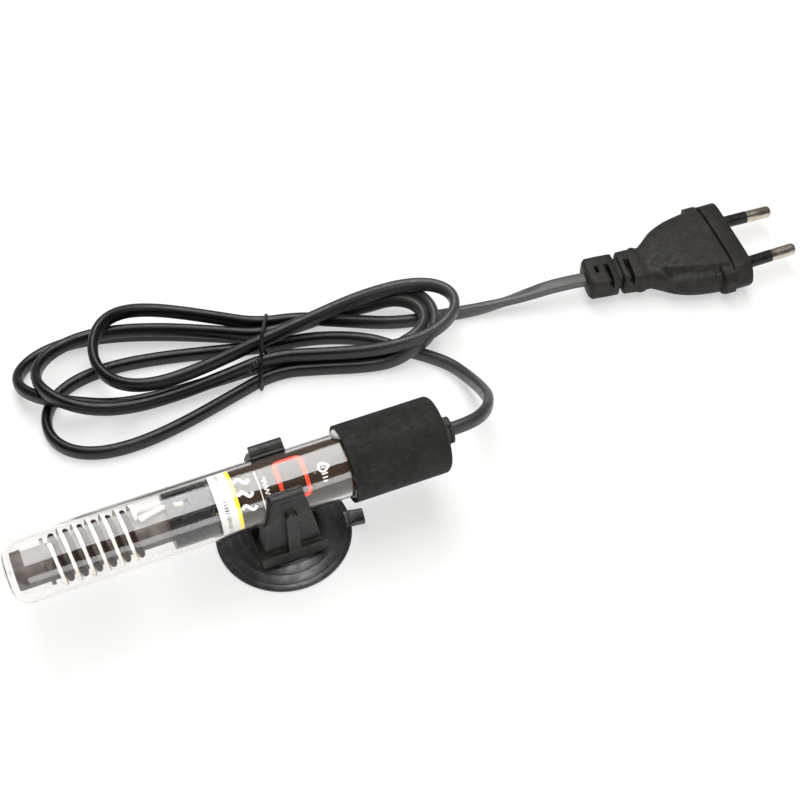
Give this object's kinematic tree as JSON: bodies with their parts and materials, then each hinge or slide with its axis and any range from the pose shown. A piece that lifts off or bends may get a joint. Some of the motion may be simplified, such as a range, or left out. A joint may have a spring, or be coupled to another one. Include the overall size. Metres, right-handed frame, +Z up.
{
  "type": "submersible aquarium heater",
  "caption": "Small submersible glass-tube aquarium heater in a suction-cup clip, with a rubber end cap and a tied flat mains lead ending in a two-pin plug",
  "frame": {"origin": "centre of the suction cup's sealing rim, on the surface that the cup sits on", "axes": "+X along the glass tube from its blunt tip towards the rubber cap, +Y towards the tied lead, +Z up from the surface towards the tube"},
  "size_m": [0.2701, 0.1185, 0.0365],
  "materials": {
    "clear_glass": "clear, glossy",
    "cap_rubber": "matt, slightly dusty",
    "gland_rubber": "matt",
    "clear_silicone": "translucent, soft sheen",
    "dark_film": "dark metallic film, glossy",
    "white_label": "printed film, glossy",
    "yellow_label": "printed film, glossy",
    "core_ceramic": "fired ceramic, matt",
    "white_ceramic": "fired ceramic, matt",
    "resistance_wire": "oxidised nickel-chrome",
    "fibre_sleeving": "woven glass-fibre sleeving",
    "black_moulding": "phenolic moulding, low sheen",
    "bimetal": "rolled strip",
    "contact_silver": "polished",
    "brass": "machined",
    "magnet_steel": "ground",
    "lamp_glass": "clear",
    "tinned_wire": "tinned",
    "resistor_body": "lacquered",
    "lead_insulation": "smooth",
    "clip_plastic": "moulded, satin",
    "cup_rubber": "smooth, satin",
    "cord_jacket": "flexible jacket, soft sheen",
    "tie_plastic": "coated wire",
    "plug_pvc": "moulded, fine spark texture",
    "plug_insert_plastic": "moulded",
    "pin_nickel": "plated, brushed",
    "pin_sleeve_plastic": "moulded"
  },
  "bodies": {
    "heater": {"glass_tube": "clear_glass", "end_cap": "cap_rubber", "seal_ring": "clear_silicone", "tube_stopper": "cap_rubber", "cable_gland": "gland_rubber", "foil_sleeve": "dark_film", "rating_label": "white_label", "label_stripe": "yellow_label", "ceramic_core": "core_ceramic", "winding_rib": "white_ceramic", "heating_wire": "resistance_wire", "heater_leads": "fibre_sleeving", "thermostat_holder": "black_moulding", "fixed_contact": "contact_silver", "contact_arm": "brass", "adjusting_screw": "brass", "snap_magnet": "magnet_steel", "indicator_lamp": "lamp_glass", "lamp_leads": "tinned_wire", "lamp_resistor": "resistor_body", "supply_leads": "lead_insulation", "crimp_terminals": "tinned_wire", "cord_heater_lead": "cord_jacket", "cord_hank": "cord_jacket", "cord_plug_lead": "cord_jacket", "twist_tie": "tie_plastic", "plug_body": "plug_pvc", "plug_insert": "plug_insert_plastic", "plug_pin_left": "pin_nickel", "plug_pin_right": "pin_nickel", "pin_sleeve_left": "pin_sleeve_plastic", "pin_sleeve_right": "pin_sleeve_plastic"},
    "bimetal": {"bimetal_strip": "bimetal", "moving_contact": "contact_silver"},
    "clip": {"clip_bracket": "clip_plastic"},
    "cup": {"suction_cup": "cup_rubber"}
  },
  "joints": [
    {"name": "clip_slide", "type": "slide", "parent": "heater", "child": "clip", "axis": [1, 0, 0], "range_m": [-0.06, 0.008]},
    {"name": "cup_turn", "type": "hinge", "parent": "clip", "child": "cup", "pos_m": [0, 0, 0.008], "axis": [0, 0, 1], "continuous": true},
    {"name": "bimetal_flex", "type": "hinge", "parent": "heater", "child": "bimetal", "pos_m": [-0.015, 0, 0.02625], "axis": [0, -1, 0], "range_deg": [0, 2.5], "stiffness_Nm_per_rad": 0.02}
  ]
}
